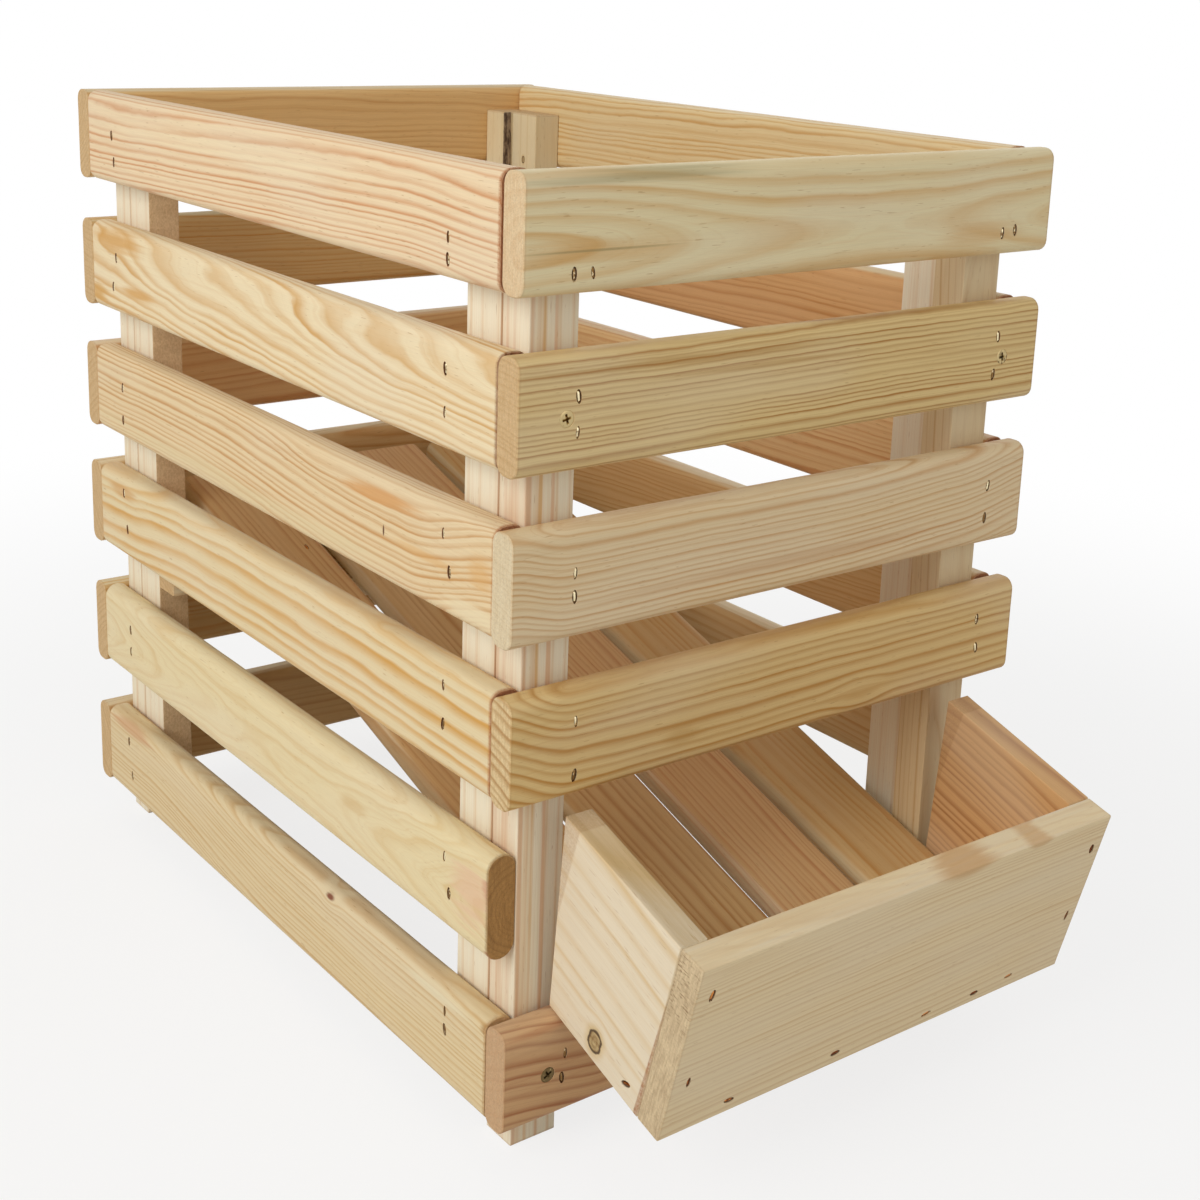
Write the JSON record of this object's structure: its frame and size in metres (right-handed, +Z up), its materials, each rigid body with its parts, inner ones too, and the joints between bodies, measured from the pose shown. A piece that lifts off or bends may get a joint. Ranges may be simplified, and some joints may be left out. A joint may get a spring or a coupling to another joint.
{
  "type": "slatted wooden onion storage box",
  "caption": "Open-topped slatted pine crate on four legs for storing onions, with a sloped tray floor that feeds a pull-out hopper at the foot of its front.",
  "frame": {"origin": "on the floor under the middle of the whole box, hopper included", "axes": "+Z up, front of the crate towards -Y, +X to the right seen from the front"},
  "size_m": [0.302, 0.5276, 0.428],
  "materials": {
    "slat_pine": "planed, bare",
    "post_pine": "sawn, bare",
    "hopper_pine": "sawn fine, bare",
    "floor_pine": "planed, bare",
    "batten_pine": "rough sawn, bare",
    "staple_wire": "dull galvanised",
    "screw_zinc": "yellow zinc plate"
  },
  "bodies": {
    "crate": {"back_left_post": "post_pine", "back_left_side_post": "post_pine", "back_panel_screws": "screw_zinc", "back_right_post": "post_pine", "back_right_side_post": "post_pine", "back_slat_1": "slat_pine", "back_slat_2": "slat_pine", "back_slat_3": "slat_pine", "back_slat_4": "slat_pine", "back_slat_5": "slat_pine", "back_slat_6": "slat_pine", "back_slat_staples": "staple_wire", "bearer_staples": "staple_wire", "front_left_post": "post_pine", "front_left_side_post": "post_pine", "front_panel_screws": "screw_zinc", "front_right_post": "post_pine", "front_right_side_post": "post_pine", "front_slat_1": "slat_pine", "front_slat_2": "slat_pine", "front_slat_3": "slat_pine", "front_slat_4": "slat_pine", "front_slat_6": "slat_pine", "front_slat_staples": "staple_wire", "left_slat_1": "slat_pine", "left_slat_2": "slat_pine", "left_slat_3": "slat_pine", "left_slat_4": "slat_pine", "left_slat_5": "slat_pine", "left_slat_6": "slat_pine", "left_slat_staples": "staple_wire", "rear_bearer": "batten_pine", "right_slat_1": "slat_pine", "right_slat_2": "slat_pine", "right_slat_3": "slat_pine", "right_slat_4": "slat_pine", "right_slat_5": "slat_pine", "right_slat_6": "slat_pine", "right_slat_staples": "staple_wire"},
    "tray": {"hopper_front_board": "hopper_pine", "hopper_left_cheek": "hopper_pine", "hopper_right_cheek": "hopper_pine", "tray_batten": "batten_pine", "tray_floor_slat_1": "floor_pine", "tray_floor_slat_2": "floor_pine", "tray_floor_slat_3": "floor_pine", "tray_floor_slat_4": "floor_pine", "tray_staples": "staple_wire"}
  },
  "joints": [
    {"name": "tray_slide", "type": "slide", "parent": "crate", "child": "tray", "axis": [0, -0.9558, -0.294], "range_m": [-0.005, 0.055]}
  ]
}
